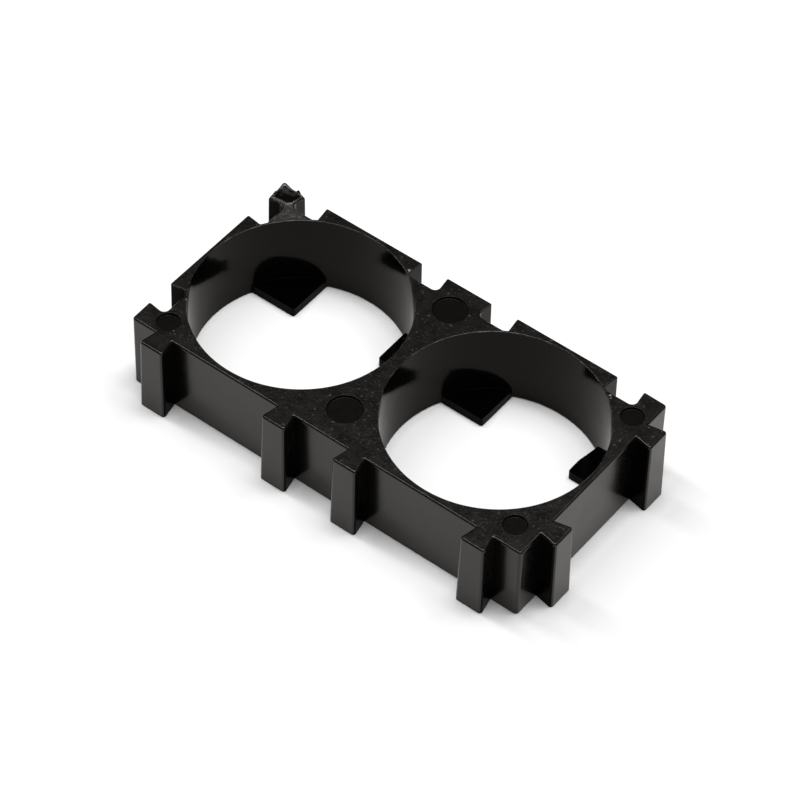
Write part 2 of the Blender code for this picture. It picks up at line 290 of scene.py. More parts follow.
def reaches(shape):
    """Distances from a pocket's axis to the left, right, front and back faces."""
    radius = shape.pocket_diameter / 2
    return (radius + shape.left_wall, radius + shape.right_wall,
            radius + shape.front_wall, radius + shape.back_wall)


def axis_distance(shape):
    """Distance of each pocket's axis from the middle."""
    return (shape.pocket_diameter + shape.pocket_divider) / 2


def keyway_sizes(shape):
    """Half width at the mouth, half width at the floor, and depth of a keyway."""
    half = shape.key_neck / 2
    floor = half + shape.key_undercut + shape.floor_clearance
    return half + shape.mouth_clearance, floor, shape.key_length + shape.end_clearance


def key_offset(shape):
    """Distance along a side from a pocket's axis to its keys and keyways."""
    return reaches(shape)[0] - shape.block_width - keyway_sizes(shape)[0]


def neck_fillet(shape):
    """Fillet of the two corner keyways that leaves the corner block's neck.

    The fillets' centres lie (2 r + dx, 2 r + dy) apart, and the neck is what is left between
    their arcs: (2 r + dx)^2 + (2 r + dy)^2 = (2 r + neck)^2, solved for r.
    """
    left, _, _, back = reaches(shape)
    _, floor, depth = keyway_sizes(shape)
    dx, dy = (reach - depth - key_offset(shape) - floor for reach in (left, back))
    spare = shape.block_neck - dx - dy
    square = spare ** 2 + shape.block_neck ** 2 - dx ** 2 - dy ** 2
    return max(shape.keyway_fillet, (spare + max(square, 0) ** 0.5) / 2)


def dovetail(start, end, reach, radii, edge, slots):
    """Corners of a rib or slot: across, outward, radius, edge radius, slot of the next face."""
    across = np.array((-start, -end, end, start))
    return np.column_stack((across, (0, reach, reach, 0), radii, (edge,) * 4, slots))


def outline_corners(shape, draft_share):
    """Corners, radii, edge radii and face slots, anticlockwise from the front left corner."""
    left_reach, right_reach, front_reach, back_reach = reaches(shape)
    axis = axis_distance(shape)
    offset = key_offset(shape)
    left, right, front, back = -axis - left_reach, axis + right_reach, -front_reach, back_reach
    neck = shape.key_neck / 2 + shape.side_draft * draft_share
    key_end = shape.key_length + shape.end_draft * draft_share
    key_radii = (shape.root_radius, shape.key_radius, shape.key_radius, shape.root_radius)
    # The key's flanks take the painted shade of the stops and flanks
    key = dovetail(neck, neck + shape.key_undercut, key_end, key_radii, shape.edge_radius,
                   (MATT_PAINTED_SHADE, POLISHED, MATT_PAINTED_SHADE, POLISHED))
    mouth, floor, depth = keyway_sizes(shape)
    mouth, floor = mouth - shape.side_draft * draft_share, floor - shape.side_draft * draft_share
    block_fillet = neck_fillet(shape)

    def keyway(first, last, bulge=0):
        radii = (shape.lip_radius, first, last, shape.lip_radius)
        # Some of the keyway's faces take the painted shade of the stops and flanks
        table = dovetail(mouth, floor, -depth, radii, shape.lip_edge_radius,
                         (MATT_PAINTED_SHADE, MATT_PAINTED_SHADE, DRAWN, POLISHED))
        table[2:, 0] -= bulge
        return table

    def pair(axis_along, first, last, bulge=0):
        return [(axis_along - offset, keyway(first, 0)),
                (axis_along + offset, keyway(0, last, bulge))]

    fillet = shape.keyway_fillet
    keys = [(x + shift - left, key) for x in (-axis, axis) for shift in (-offset, offset)]
    sides = (((left, front), (1, 0), keys),
             ((right, front), (0, 1), [(shift - front, key) for shift in (-offset, offset)]),
             ((right, back), (-1, 0), pair(right - axis, fillet, fillet)
              + pair(right + axis, fillet, block_fillet, shape.block_spread)),
             ((left, back), (0, -1), pair(back, block_fillet, fillet)))
    corners = []
    for start, along, features in sides:
        start, along = np.array(start), np.array(along)
        outward = np.array((along[1], -along[0]))
        corners.append([[*start, shape.corner_radius, shape.edge_radius, POLISHED]])
        for distance, feature in features:
            places = (start + np.outer(distance + feature[:, 0], along)
                      + np.outer(feature[:, 1], outward))
            corners.append(np.column_stack((places, feature[:, 2:])))
    table = np.concatenate(corners)
    return table[:, :2], table[:, 2], table[:, 3], table[:, 4].astype(int)


def outline(shape, draft_share):
    """Points, outward normals, edge radii and face slots of the plan outline, anticlockwise.

    A corner p of radius r, between sides with outward normals a and b, becomes an arc. With the
    mitre m = -(a + b) / (1 + a.b) and a normal n that turns evenly from a to b, its points are
    p + s r (m + n), where s is 1 at an outer corner and -1 at an inner one. The straight run to
    the next corner has points at shares (1 - cos) / 2, so they are closest near the corners.
    """
    corners, radii, edges, slots = outline_corners(shape, draft_share)
    along = unit(np.roll(corners, -1, axis=0) - corners)
    before = np.roll(along, 1, axis=0)
    side_out = np.column_stack((along[:, 1], -along[:, 0]))
    side_in = np.column_stack((before[:, 1], -before[:, 0]))
    dot = (before * along).sum(axis=1)
    bend = np.arctan2(before[:, 0] * along[:, 1] - before[:, 1] * along[:, 0], dot)
    mitre = -(side_in + side_out) / (1 + dot)[:, None]
    angle = bend[:, None] * np.linspace(0, 1, ARC_STEPS + 1)
    a, b = side_in[:, None, 0], side_in[:, None, 1]
    arc_normal = np.stack((a * np.cos(angle) - b * np.sin(angle),
                           a * np.sin(angle) + b * np.cos(angle)), -1)
    arc = corners[:, None] + (np.sign(bend) * radii)[:, None, None] * (mitre[:, None] + arc_normal)
    share = (1 - np.cos(pi * np.arange(1, RUN_STEPS) / RUN_STEPS))[None, :, None] / 2
    run = arc[:, -1:] * (1 - share) + np.roll(arc[:, :1], -1, axis=0) * share
    run_normal = np.broadcast_to(side_out[:, None], run.shape)
    points = np.concatenate((arc, run), axis=1).reshape(-1, 2)
    normals = np.concatenate((arc_normal, run_normal), axis=1).reshape(-1, 2)
    arc_edge = np.repeat(edges[:, None], ARC_STEPS + 1, axis=1)
    run_edge = edges[:, None] * (1 - share[..., 0]) + np.roll(edges, -1)[:, None] * share[..., 0]
    edge = np.concatenate((arc_edge, run_edge), axis=1).ravel()
    before_slots = np.repeat(np.roll(slots, 1)[:, None], ARC_STEPS // 2, axis=1)
    after_slots = np.repeat(slots[:, None], ARC_STEPS + RUN_STEPS - ARC_STEPS // 2, axis=1)
    return points, normals, edge, np.concatenate((before_slots, after_slots), axis=1).ravel()


class Surface:
    """Patches of one closed surface, with a normal for each point and a slot for each face."""

    def __init__(self):
        self.points, self.normals, self.faces, self.slots, self.count = [], [], [], [], 0

    def add(self, points, normals, faces, slot):
        """Takes arrays of points and normals, and faces with three or four corners."""
        if faces.shape[1] == 3:
            faces = np.column_stack((faces, faces[:, 2]))
        self.points.append(points.reshape(-1, 3))
        self.normals.append(normals.reshape(-1, 3))
        self.faces.append(faces + self.count)
        self.slots.append(np.broadcast_to(slot, len(faces)))
        self.count += len(self.points[-1])

    def add_rings(self, points, normals, slot, flip=False):
        """Joins rings (levels, round, 3) into a closed band: levels rise, rings run anticlockwise.

        The slot is one number, or one for each face (levels - 1, round).
        """
        levels, around = points.shape[:2]
        level, step = np.meshgrid(np.arange(levels - 1), np.arange(around), indexing="ij")
        after = (step + 1) % around
        corners = (level * around + step, level * around + after,
                   (level + 1) * around + after, (level + 1) * around + step)
        faces = np.stack(corners[::-1] if flip else corners, axis=-1).reshape(-1, 4)
        self.add(points, normals, faces, np.broadcast_to(slot, (levels - 1, around)).ravel())

    def add_flat(self, loops, z, up, slot):
        """Fills a flat face at height z between its outer loop and the loops of its holes."""
        flat = [np.column_stack((loop[:, :2], np.full(len(loop), z))) for loop in loops]
        faces = np.array(tessellate_polygon([loop.tolist() for loop in flat]))
        points = np.concatenate(flat)
        a, b, c = (points[faces[:, corner], :2] for corner in range(3))
        area = (b - a)[:, 0] * (c - a)[:, 1] - (b - a)[:, 1] * (c - a)[:, 0]
        if (area.sum() > 0) != up:
            faces = faces[:, ::-1]
        self.add(points, np.tile((0.0, 0.0, 1.0 if up else -1.0), (len(points), 1)), faces, slot)

    def to_mesh(self, name):
        """Welds the patches along their shared edges and gives the mesh its normals."""
        points, normals = np.concatenate(self.points), np.concatenate(self.normals)
        faces, slots = np.concatenate(self.faces), np.concatenate(self.slots)
        _, first, place = np.unique(np.round(points / WELD).astype(np.int64), axis=0,
                                    return_index=True, return_inverse=True)
        faces = place.reshape(-1)[faces]
        repeats = faces == np.roll(faces, -1, axis=1)
        kept = repeats.sum(axis=1) < 2
        faces, slots, repeats = faces[kept], slots[kept], repeats[kept]
        corners = faces[~repeats]
        sizes = 4 - repeats.sum(axis=1)
        mesh = bpy.data.meshes.new(name)
        mesh.vertices.add(len(first))
        mesh.vertices.foreach_set("co", points[first].ravel())
        mesh.loops.add(len(corners))
        mesh.loops.foreach_set("vertex_index", corners)
        mesh.polygons.add(len(sizes))
        mesh.polygons.foreach_set("loop_start", np.concatenate(([0], np.cumsum(sizes)[:-1])))
        mesh.polygons.foreach_set("material_index", slots)
        mesh.update(calc_edges=True)
        mesh.validate()
        mesh.shade_smooth()
        mesh.normals_split_custom_set_from_vertices(normals[first])
        return mesh


def spread(plan, z):
    """Points (levels, round, 3) from plan points and their heights (levels, round)."""
    return np.concatenate((plan, np.broadcast_to(z, plan.shape[:2])[..., None]), axis=-1)


def tilted(plan, tilt):
    """Normals from level unit vectors and their tilts over the horizon (levels, round)."""
    tilt = np.broadcast_to(tilt, plan.shape[:2])[..., None]
    return np.concatenate((plan * np.cos(tilt), np.sin(tilt)), axis=-1)


def outer_wall(shape):
    """Rings of the outer wall, base first, their normals, and the slots of its faces.

    At height z the outline is a blend of its base and top outlines. Where a keyway would come
    nearer than the rim wall to a pocket, the point moves straight out to the rim wall's circle.
    On a fillet of radius r whose normal is tilted by t, the wall lies in by r (1 - cos t), and the
    height is short of the flat face by r (1 - |sin t|).
    """
    base, _, _, _ = outline(shape, 1)
    top, normal, edge, slots = outline(shape, 0)
    rim = shape.pocket_diameter / 2 + shape.rim_wall
    rounded = edge[None].copy()
    for side in (-1, 1):
        away = top - (side * axis_distance(shape), 0)
        rounded[0, np.linalg.norm(away, axis=-1) < rim] = shape.sleeve_edge_radius
    small = shape.base_radius
    rising = QUARTER[:, None] * np.ones_like(rounded)
    falling = rising[::-1]
    share = np.linspace(0, 1, WALL_STEPS + 1)[1:-1, None]
    none = np.zeros_like(share * rounded)
    z = np.concatenate((small * (1 - np.sin(falling)),
                        small + share * (BODY_HEIGHT - rounded - small),
                        BODY_HEIGHT - rounded * (1 - np.sin(rising))))
    inset = np.concatenate((small * (1 - np.cos(falling)), none, rounded * (1 - np.cos(rising))))
    tilt = np.concatenate((-falling, none, rising))
    plan = top + (1 - z / BODY_HEIGHT)[..., None] * (base - top)
    normals = np.broadcast_to(normal, plan.shape).copy()
    for side in (-1, 1):
        centre = np.array((side * axis_distance(shape), 0))
        away = plan - centre
        near = np.linalg.norm(away, axis=-1) < rim
        plan[near] = centre + unit(away[near]) * rim
        normals[near] = unit(away[near])
    face_slots = np.tile(slots, (len(plan) - 1, 1))
    face_slots[-EDGE_STEPS:] = EDGE
    return spread(plan - normals * inset[..., None], z), tilted(normals, tilt), face_slots


def pocket_angles(shape):
    """Angles round a pocket: evenly spaced, with more at the corners and ends of its stops."""
    half, shift = shape.channel_width / 2, shape.channel_shift
    radius = (shape.pocket_diameter - shape.pocket_taper) / 2
    special = []
    for x in (shift - half, shift + half):
        for y in (-shift - half, -shift + half):
            end_y = np.copysign((radius ** 2 - x ** 2) ** 0.5, y)
            end_x = np.copysign((radius ** 2 - y ** 2) ** 0.5, x)
            special += [np.arctan2(y, x), np.arctan2(end_y, x), np.arctan2(y, end_x)]
    special = np.add.outer(special, FAN).ravel()
    even = np.arange(POCKET_STEPS) * 2 * pi / POCKET_STEPS - pi
    gap = np.abs(np.angle(np.exp(1j * (even[:, None] - special)))).min(axis=1)
    angles = np.concatenate((even[gap > pi / POCKET_STEPS], special))
    return np.sort(np.angle(np.exp(1j * angles)))


def channel_edge(shape, angles, flash, growth):
    """Distance from a pocket's axis to the edges of the two crossed channels between the stops.

    A ray leaves a channel at edge / cos or edge / sin of its angle. It meets a stop where it has
    left both channels: the larger of the two, with the corner rounded by a soft maximum,
    (a + b + sqrt((a - b)^2 + c^2)) / 2. Flash widens the first quadrant's stop towards the middle,
    and both sides of the second quadrant's stop can stand out further.
    """
    half, shift = shape.channel_width / 2, shape.channel_shift
    least = 1e-9
    across, along = (np.where(np.abs(part) < least, least, part)
                     for part in (np.cos(angles), np.sin(angles)))
    edge_x = shift + np.copysign(half, across)
    edge_y = -shift + np.copysign(half, along)
    grown = np.clip((FLASH_START - angles) / (FLASH_START - FLASH_FULL), 0, 1) * (angles > 0)
    second = growth * (angles > pi / 2)
    edge_x, edge_y = edge_x - flash * grown + second, edge_y - second
    leave_x, leave_y = edge_x / across, edge_y / along
    return (leave_x + leave_y + np.hypot(leave_x - leave_y, shape.stop_tip_radius)) / 2


def pocket_wall(shape, side, flash, growth):
    """Rings of one pocket, base first, their normals, and the slots of its faces.

    They run up the opening between the stops, over the stops' tops and up the bore. The radius
    is the smaller of the channel edge and the tapered bore, and fillets move it. The bore's
    normals have the lean at which the wall mirrors things.
    """
    angles = pocket_angles(shape)
    edge = channel_edge(shape, angles, flash, growth)
    small, rim, thick = shape.base_radius, shape.rim_radius, shape.stop_thickness

    def bore(z):
        return (shape.pocket_diameter - shape.pocket_taper * (1 - z / BODY_HEIGHT)) / 2

    bore_foot, lean = bore(thick), shape.pocket_lean
    stop = edge < bore_foot - small
    rings, heights, tilts = [], [], []

    def ring(radius, z, tilt):
        for table, value in ((rings, radius), (heights, z), (tilts, tilt)):
            table.append(value * np.ones_like(angles))

    foot = np.where(stop, small, shape.foot_radius)
    for tilt in QUARTER[::-1]:
        ring(np.minimum(edge, bore_foot) + foot * (1 - cos(tilt)), foot * (1 - sin(tilt)),
             np.where(stop, 0, lean) - tilt)
    for tilt in QUARTER:
        grown = np.minimum(edge + small * (1 - cos(tilt)), bore_foot)
        ring(grown, thick - small * (1 - sin(tilt)), np.where(stop, tilt, lean))
    shelf = np.minimum(edge + small, bore_foot)
    for tilt in QUARTER[::-1]:
        ring(np.maximum(shelf, bore_foot - small * (1 - cos(tilt))),
             thick + small * (1 - sin(tilt)), np.where(stop, max(tilt, lean), lean))
    for z in np.linspace(thick + small, BODY_HEIGHT - rim, WALL_STEPS + 1)[1:]:
        ring(bore(z), z, lean)
    for tilt in QUARTER[1:]:
        ring(bore(BODY_HEIGHT) + rim * (1 - cos(tilt)), BODY_HEIGHT - rim * (1 - sin(tilt)), tilt)

    radius = np.array(rings)
    outward = np.column_stack((np.cos(angles), np.sin(angles)))
    around = np.column_stack((-np.sin(angles), np.cos(angles)))
    closed_angles = np.concatenate((angles[-1:] - 2 * pi, angles, angles[:1] + 2 * pi))
    closed = np.concatenate((radius[:, -1:], radius, radius[:, :1]), axis=1)
    slope = (closed[:, 2:] - closed[:, :-2]) / (closed_angles[2:] - closed_angles[:-2])
    inward = unit(slope[..., None] * around - radius[..., None] * outward)
    plan = np.array((side * axis_distance(shape), 0)) + radius[..., None] * outward
    slots = np.full((len(rings) - 1, len(angles)), DRAWN)
    slots[:EDGE_STEPS] = POLISHED
    # The stops get the painted shade
    slots[EDGE_STEPS:3 * EDGE_STEPS + 2, stop] = MATT_PAINTED_SHADE
    # The rim's fillet gets the painted rim highlight
    slots[-EDGE_STEPS:] = RIM_HIGHLIGHT
    return spread(plan, np.array(heights)), tilted(inward, np.array(tilts)), slots


def recess(centre, diameter, depth, radius):
    """Rings of a round recess, from the middle of its floor out to the top face round it.

    The radii run over the floor, up a fillet to the wall's radius, and out over the rim's fillet.
    """
    outward = circle(MARK_STEPS)
    wall = diameter / 2
    floor = MARK_FLOOR_SHARES * (wall - radius)
    flat = np.zeros_like(floor)
    radii = np.concatenate((floor, wall - radius * (1 - np.sin(QUARTER)),
                            wall + radius * (1 - np.cos(QUARTER))))
    z = np.concatenate((flat, radius * (1 - np.cos(QUARTER)),
                        depth - radius * (1 - np.sin(QUARTER))))
    tilt = np.concatenate((flat + pi / 2, pi / 2 - QUARTER, QUARTER))
    plan = np.array(centre) + radii[:, None, None] * outward
    return (spread(plan, (BODY_HEIGHT - depth + z)[:, None]),
            tilted(np.broadcast_to(-outward, plan.shape), tilt[:, None]))


def scar_middle(shape):
    """Middle of the corner block's top, where the gate was torn off."""
    left, _, _, back = reaches(shape)
    half = shape.block_width / 2
    return np.array((-axis_distance(shape) - left + half + shape.block_spread / 2,
                     back - half + SCAR_SHIFT))


def block_share(shape, away):
    """How far points (..., 2) lie from the scar's middle: 0 there and 1 on the scar's outline.

    The sides of the block lie at distances d along their normals n. The measure is
    (sum of max(e.n / d, 0)^p)^(1/p), a rounded block.
    """
    mouth, floor, depth = keyway_sizes(shape)
    lean = np.arctan2(floor - mouth, depth)
    along = shape.block_width / 2
    across = along + shape.block_spread / 2
    edge, lip = shape.edge_radius + SCAR_EDGE_GAP, shape.lip_edge_radius + SCAR_LIP_GAP
    sides = ((pi, across - edge), (pi / 2, along - SCAR_SHIFT - edge),
             (-lean, across - SCAR_RIGHT_GAP - lip),
             (lean - pi / 2, along - SCAR_FRONT_GAP - lip), (-pi / 4, SCAR_NECK_REACH))
    shares = [np.maximum(away @ (cos(bearing), sin(bearing)), 0) / distance
              for bearing, distance in sides]
    return (np.array(shares) ** SCAR_POWER).sum(axis=0) ** (1 / SCAR_POWER)


def scar_patch(shape):
    """Rings of the scar, from its middle out to the flat face round it, and their normals.

    A ring is the scar's outline scaled about its middle, and lies flat until the tear moves it.
    """
    outward = circle(SCAR_STEPS)
    share = np.linspace(SCAR_CORE_SHARE, 1, SCAR_RINGS)[:, None]
    reach = 1 / block_share(shape, outward)
    plan = scar_middle(shape) + (share * reach)[..., None] * outward
    points = spread(plan, BODY_HEIGHT)
    return points, np.broadcast_to((0.0, 0.0, 1.0), points.shape)


def crumple(place):
    """Sum of sine waves with seeded directions and lengths, each as high as it is long."""
    chance = np.random.default_rng(CRUMPLE_SEED)
    size = CRUMPLE_SIZE * CRUMPLE_RANGE ** chance.random(CRUMPLE_WAVES)
    bearing, phase = chance.random((2, CRUMPLE_WAVES)) * 2 * pi
    way = np.stack((np.cos(bearing), np.sin(bearing))) * 2 * pi / size
    return (np.sin(place @ way + phase) * size).sum(axis=-1) / size.sum() * CRUMPLE_GAIN


def smooth(value, low, high):
    """0 below low and 1 above high, smooth between: 3 s^2 - 2 s^3."""
    share = np.clip((value - low) / (high - low), 0, 1)
    return share * share * (3 - 2 * share)


def lift(shape, place):
    """How far the torn gate moves the top face at plan points (..., 2).

    The scar is a shallow cup, deepest in its middle. A thin burr runs along its front, peaks are
    added as h exp(-(r / s)^2 / 2), and crumples ride on its edge. All of it fades out across the
    neck.
    """
    away = place - scar_middle(shape)
    on_block = 1 - smooth((away[..., 0] - away[..., 1]) / 2 ** 0.5, *NECK_FADE)
    wrinkle = crumple(place)
    share = block_share(shape, away) + UNEVEN_SHARE * wrinkle
    cup = 1 - smooth(share, *CUP_SHARES)
    torn = smooth(share, *TORN_START_SHARES) * (1 - smooth(share, *TORN_END_SHARES))
    burr = np.exp(-((share - BURR_SHARE) / BURR_HALF_SHARE) ** 2)
    burr = burr * smooth(away @ NEAR, *BURR_GROWTH)
    peaks = 0
    for x, y, high, wide in np.array(SCAR_PEAKS) * MM:
        square = ((away - (x, y)) ** 2).sum(axis=-1)
        peaks = peaks + high * np.exp(-square / (2 * wide ** 2))
    return on_block * (peaks - shape.scar_depth * cup + shape.scar_burr * burr
                       + shape.scar_crumple * wrinkle * torn)


def tear(shape, points, normals):
    """Moves points near the top by the lift f(x, y), less and less further down.

    With the share w of the lift at a height, z' = z + w f, and a normal (a, b, c) becomes
    (a - w f_x c / g, b - w f_y c / g, c / g) with g = 1 + w' f.
    """
    plan, z = points[..., :2], points[..., 2]
    share = smooth(z, *TEAR_HEIGHTS)
    step = SLOPE_STEP
    rise = lift(shape, plan)
    slope_x, slope_y = ((lift(shape, plan + side) - lift(shape, plan - side)) / (2 * step)
                        for side in ((step, 0), (0, step)))
    rate = (smooth(z + step, *TEAR_HEIGHTS) - share) / step
    least = 0.3
    up = normals[..., 2] / np.maximum(1 + rate * rise, least)
    turned = np.stack((normals[..., 0] - share * slope_x * up,
                       normals[..., 1] - share * slope_y * up, up), -1)
    moved = points.copy()
    moved[..., 2] = np.minimum(z + share * rise, CAD_TOP - WELD)
    return moved, unit(turned)


def mark_places(shape):
    """Centre and diameter of each ejector mark."""
    left, right, front, back = reaches(shape)
    places = [((0, shape.mark_front_inset - front), shape.divider_mark),
              ((0, back - shape.mark_back_inset), shape.divider_mark)]
    for pocket, share_x, share_y in CORNER_MARK_SHARES:
        reach_x = right if share_x > 0 else left
        reach_y = back if share_y > 0 else front
        centre = (pocket * axis_distance(shape) + share_x * reach_x, share_y * reach_y)
        places.append((centre, shape.corner_mark))
    return places


def bracket_mesh(shape):
    """The whole moulding as one closed surface."""
    surface = Surface()
    wall, normals, slots = outer_wall(shape)
    surface.add_rings(wall, normals, slots)
    top_loops, base_loops = [wall[-1]], [wall[0]]
    for side, flash, growth in ((-1, 0, shape.stop_growth), (1, shape.stop_flash, 0)):
        points, normals, slots = pocket_wall(shape, side, flash, growth)
        surface.add_rings(points, normals, slots, flip=True)
        top_loops.append(points[-1])
        base_loops.append(points[0])
    for centre, diameter in mark_places(shape):
        points, normals = recess(centre, diameter, shape.mark_depth, shape.base_radius)
        surface.add_rings(points, normals, MARK, flip=True)
        surface.add_flat([points[0]], points[0, 0, 2], True, MARK)
        top_loops.append(points[-1])
    points, normals = scar_patch(shape)
    # The scar's front rim gets the painted rim highlight
    front = (points[1:, :, :2] - scar_middle(shape)) @ NEAR > HIGHLIGHT_REACH
    front[:-HIGHLIGHT_RINGS] = False
    surface.add_rings(points, normals, np.where(front, RIM_HIGHLIGHT, TORN), flip=True)
    surface.add_flat([points[0]], BODY_HEIGHT, True, TORN)
    top_loops.append(points[-1])
    surface.add_flat(top_loops, BODY_HEIGHT, True, GRAINED)
    surface.add_flat(base_loops, 0.0, False, POLISHED)
    torn = [tear(shape, *patch) for patch in zip(surface.points, surface.normals)]
    surface.points, surface.normals = zip(*torn)
    return surface.to_mesh("bracket_moulding")


class Nodes:
    """Short form for building the node tree of a material or a world."""

    def __init__(self, owner):
        owner.use_nodes = True
        self.owner, self.tree = owner, owner.node_tree
        self.tree.nodes.clear()

    def add(self, kind, inputs=None, **settings):
        """Adds a node, sets its properties, and sets or links its inputs."""
        node = self.tree.nodes.new(kind)
        for name, value in settings.items():
            setattr(node, name, value)
        for name, value in (inputs or {}).items():
            self.feed(node.inputs[name], value)
        return node

    def feed(self, socket, value):
        """Links an output to an input, or sets a constant there. A colour has three parts."""
        if isinstance(value, bpy.types.NodeSocket):
            self.tree.links.new(value, socket)
        else:
            socket.default_value = (*value, 1) if socket.type == "RGBA" else value

    def math(self, operation, *values):
        """Number worked out from up to three others."""
        node = self.add("ShaderNodeMath", dict(enumerate(values)), operation=operation)
        return node.outputs["Value"]

    def distance(self, start, end):
        """Distance between two points."""
        node = self.add("ShaderNodeVectorMath", {0: start, 1: end}, operation="DISTANCE")
        return node.outputs["Value"]

    def ramp(self, value, low, high, start=0, end=1, **settings):
        """Number that goes from start to end as a value goes from low to high, and stays there."""
        node = self.add("ShaderNodeMapRange", {
            "Value": value, "From Min": low, "From Max": high, "To Min": start, "To Max": end},
            **settings)
        return node.outputs["Result"]

    def mix(self, share, first, second):
        """Colour that goes from the first to the second as the share goes from 0 to 1."""
        node = self.add("ShaderNodeMix", {"Factor": share, "A": first, "B": second},
                        data_type="RGBA")
        return node.outputs["Result"]


class Plastic(Nodes):
    """One finish of the black plastic: a Principled shader on the moulding's own coordinates."""

    def __init__(self, name, finish, roughness, gloss):
        super().__init__(bpy.data.materials.new(name))
        self.finish = finish
        self.place = self.add("ShaderNodeTexCoord").outputs["Object"]
        shader = self.add("ShaderNodeBsdfPrincipled", {
            "Base Color": finish.plastic, "Roughness": roughness, "IOR": 1.5,
            "Specular IOR Level": gloss, "Specular Tint": finish.sheen})
        self.inputs = shader.inputs
        self.add("ShaderNodeOutputMaterial", {"Surface": shader.outputs["BSDF"]})

    def noise(self, size, detail, roughness=0.5, place=None, output="Fac"):
        """Noise with features of about one size."""
        node = self.add("ShaderNodeTexNoise", {
            "Vector": place or self.place, "Scale": 1 / size, "Detail": detail,
            "Roughness": roughness})
        return node.outputs[output]

    def bump(self, height, depth):
        """Bends the normal by a height of 0 to 1 times the depth, over any bump before it."""
        node = self.add("ShaderNodeBump", {"Height": height, "Distance": depth, "Strength": 1.0})
        for link in self.inputs["Normal"].links:
            self.feed(node.inputs["Normal"], link.from_socket)
        self.feed(self.inputs["Normal"], node.outputs["Normal"])

    def vary_roughness(self, value, low, high, least, most):
        """Scales the roughness from least to most as a value goes from low to high."""
        roughness = self.inputs["Roughness"]
        level = roughness.default_value
        self.feed(roughness, self.ramp(value, low, high, level * least, level * most))

    def drag(self, depth):
        """Faint waviness and fine drag lines down the draft, and roughness that varies with them.

        The lines are noise drawn out along Z. The waves are ten times as deep.
        """
        drawn_out = self.add("ShaderNodeMapping", {"Vector": self.place, "Scale": (1, 1, 0.12)})
        lines = self.noise(size=0.5 * MM, detail=3, place=drawn_out.outputs["Vector"])
        waves = self.noise(size=3 * MM, detail=1)
        self.vary_roughness(lines, low=0, high=1, least=0.8, most=1.25)
        self.bump(lines, depth)
        self.bump(waves, depth * 10)

    def paint(self, tint):
        """Gives the plastic a tint, with the whitened specks over it. Noise frays the specks."""
        stir = self.noise(SPECK_STIR_SIZE, detail=2, output="Color")
        moved = self.add("ShaderNodeVectorMath", {0: stir, 1: (SPECK_STIR,) * 3, 2: self.place},
                         operation="MULTIPLY_ADD").outputs["Vector"]
        total = 0
        for x, y, size in np.array(SPECKS) * MM:
            centre = np.array((x, y, BODY_HEIGHT)) + SPECK_STIR / 2
            solid, whole = size * np.array(SPECK_SHARES)
            speck = self.ramp(self.distance(moved, centre), solid, whole, start=1, end=0)
            total = self.math("MAXIMUM", speck, total)
        self.feed(self.inputs["Base Color"], self.mix(total, tint, self.finish.whitened))


def grained_top(finish):
    """Spark-eroded grain with sparse painted glints, which are pale spots standing in for the
    lamps' glints on its facets, and a paler blush near the gate.
    """
    top = Plastic("grained_top", finish, finish.top_roughness, finish.top_gloss)
    grain = top.noise(finish.grain_size, detail=3, roughness=0.6)
    glint_size = finish.grain_size * 1.25
    specked = top.noise(glint_size, detail=2, roughness=0.8)
    patches = top.noise(size=1.1 * MM, detail=2, roughness=0.6)
    top.vary_roughness(patches, low=0.3, high=0.7, least=0.85, most=1.2)
    near = top.ramp(top.distance(top.place, GATE), *BLUSH_FADE, start=1, end=0,
                    interpolation_type="SMOOTHSTEP")
    # More painted glints near the gate, where pale spots stand in for the lamps' glints on the
    # grain
    extra_glints = 0.08
    glint_noise = top.math("MULTIPLY_ADD", near, extra_glints, specked)
    glints = top.ramp(glint_noise, low=0.62, high=0.74)
    top.paint(top.mix(glints, top.mix(near, finish.plastic, finish.blush), finish.painted_glint))
    top.bump(grain, finish.grain_depth)
    return top.owner


def moulded_face(name, finish, roughness, gloss, drag):
    """A plain finish of the mould: the plastic's colour and its drag lines."""
    face = Plastic(name, finish, roughness, gloss)
    face.drag(drag)
    return face.owner


def polished_side(finish):
    """Polished mould wall, which mirrors the floor."""
    return moulded_face("polished_side", finish, finish.side_roughness, finish.side_gloss,
                        finish.fine_drag)


def drawn_wall(finish):
    """Wall drawn off a core, in the pockets and the keyways: smooth, but with little gloss."""
    return moulded_face("drawn_wall", finish, finish.bore_roughness, finish.bore_gloss,
                        finish.bore_drag)


def matt_flank(finish):
    """Stops and the flanks of keys and keyways: a matt finish with painted shade, which is a base
    colour darker than the plastic's that stands in for the shade they lie in.
    """
    flank = Plastic("matt_flank", finish, finish.matt_roughness, finish.matt_gloss)
    # Painted shade in place of the plastic's colour
    flank.feed(flank.inputs["Base Color"], finish.painted_shade)
    flank.drag(finish.coarse_drag)
    return flank.owner


def ejector_mark(finish):
    """Smooth dull face that an ejector pin left."""
    return moulded_face("ejector_mark", finish, finish.top_roughness, finish.mark_gloss,
                        finish.fine_drag)


def rounded_edge(finish):
    """Rounded edge round the top, where the polish of the sides fades into the grain."""
    return moulded_face("rounded_edge", finish, finish.edge_roughness, finish.edge_gloss,
                        finish.coarse_drag)


def rubbed_edge(finish):
    """Sharp rim with a painted highlight: paler colour that stands in for the light the rim
    catches, coming and going along it, with bumps that follow it.
    """
    rim = Plastic("rubbed_edge", finish, finish.top_roughness, finish.rim_gloss)
    highlight_noise = rim.noise(size=0.8 * MM, detail=4, roughness=0.7)
    rim.paint(rim.mix(rim.ramp(highlight_noise, low=0.5, high=0.75), finish.plastic, finish.painted_rim_highlight))
    rim.bump(highlight_noise, finish.rim_relief)
    return rim.owner


